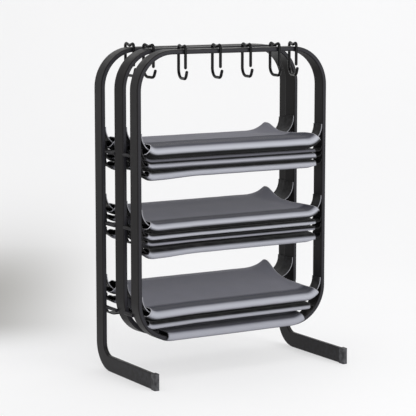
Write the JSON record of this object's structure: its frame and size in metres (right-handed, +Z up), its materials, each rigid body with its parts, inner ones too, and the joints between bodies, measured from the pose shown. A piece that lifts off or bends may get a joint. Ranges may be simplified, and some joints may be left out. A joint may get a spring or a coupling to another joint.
{
  "type": "hook and sling storage rack",
  "caption": "Free-standing workshop rack of bent flat-oval bar with fabric slings hung in three tiers and wire hooks that slide along its top rails.",
  "frame": {"origin": "middle of the whole rack's box, on the floor under it", "axes": "+X across the rack to its right seen from the front, +Y to the back, +Z up"},
  "size_m": [0.7684, 0.4264, 1.1165],
  "materials": {
    "frame_powder_coat": "satin powder coat",
    "cap_plastic": "matte",
    "sling_fabric": "fine matte weave",
    "hook_coating": "gloss"
  },
  "bodies": {
    "rack": {"front_loop": "frame_powder_coat", "middle_loop": "frame_powder_coat", "rear_frame": "frame_powder_coat", "foot_cap_left": "cap_plastic", "foot_cap_right": "cap_plastic", "front_ties": "frame_powder_coat", "rear_ties": "frame_powder_coat", "top_bar_1_front": "frame_powder_coat", "top_bar_1_middle": "frame_powder_coat", "top_bar_1_rear": "frame_powder_coat", "top_bar_2_front": "frame_powder_coat", "top_bar_2_middle": "frame_powder_coat", "top_bar_2_rear": "frame_powder_coat", "top_bar_3_front": "frame_powder_coat", "top_bar_3_middle": "frame_powder_coat", "top_bar_3_rear": "frame_powder_coat", "top_bar_4_front": "frame_powder_coat", "top_bar_4_middle": "frame_powder_coat", "top_bar_4_rear": "frame_powder_coat", "middle_bar_1_front": "frame_powder_coat", "middle_bar_1_middle": "frame_powder_coat", "middle_bar_1_rear": "frame_powder_coat", "middle_bar_2_front": "frame_powder_coat", "middle_bar_2_middle": "frame_powder_coat", "middle_bar_2_rear": "frame_powder_coat", "middle_bar_3_front": "frame_powder_coat", "middle_bar_3_middle": "frame_powder_coat", "middle_bar_3_rear": "frame_powder_coat", "middle_bar_4_front": "frame_powder_coat", "middle_bar_4_middle": "frame_powder_coat", "middle_bar_4_rear": "frame_powder_coat", "bottom_bar_1_front": "frame_powder_coat", "bottom_bar_1_middle": "frame_powder_coat", "bottom_bar_1_rear": "frame_powder_coat", "bottom_bar_2_front": "frame_powder_coat", "bottom_bar_2_middle": "frame_powder_coat", "bottom_bar_2_rear": "frame_powder_coat", "bottom_bar_3_rear": "frame_powder_coat", "top_sling_1": "sling_fabric", "top_sling_2": "sling_fabric", "top_sling_3": "sling_fabric", "top_sling_4": "sling_fabric", "middle_sling_1": "sling_fabric", "middle_sling_2": "sling_fabric", "middle_sling_3": "sling_fabric", "middle_sling_4": "sling_fabric", "bottom_sling_1": "sling_fabric", "bottom_sling_2": "sling_fabric", "bottom_sling_3": "sling_fabric"},
    "hook_front_1": {"hook_front_1": "hook_coating"},
    "hook_front_2": {"hook_front_2": "hook_coating"},
    "hook_front_3": {"hook_front_3": "hook_coating"},
    "hook_front_4": {"hook_front_4": "hook_coating"},
    "hook_front_5": {"hook_front_5": "hook_coating"},
    "hook_middle": {"hook_middle": "hook_coating"},
    "hook_rear": {"hook_rear": "hook_coating"}
  },
  "joints": [
    {"name": "hook_front_1_slide", "type": "slide", "parent": "rack", "child": "hook_front_1", "axis": [1, 0, 0], "range_m": [-0.03, 0.053]},
    {"name": "hook_front_2_slide", "type": "slide", "parent": "rack", "child": "hook_front_2", "axis": [1, 0, 0], "range_m": [-0.053, 0.047]},
    {"name": "hook_front_3_slide", "type": "slide", "parent": "rack", "child": "hook_front_3", "axis": [1, 0, 0], "range_m": [-0.047, 0.045]},
    {"name": "hook_front_4_slide", "type": "slide", "parent": "rack", "child": "hook_front_4", "axis": [1, 0, 0], "range_m": [-0.045, 0.023]},
    {"name": "hook_front_5_slide", "type": "slide", "parent": "rack", "child": "hook_front_5", "axis": [1, 0, 0], "range_m": [-0.024, 0]},
    {"name": "hook_middle_slide", "type": "slide", "parent": "rack", "child": "hook_middle", "axis": [0.9955, 0.0945, 0], "range_m": [0, 0.06]},
    {"name": "hook_rear_slide", "type": "slide", "parent": "rack", "child": "hook_rear", "axis": [1, 0, 0], "range_m": [0, 0.06]}
  ]
}
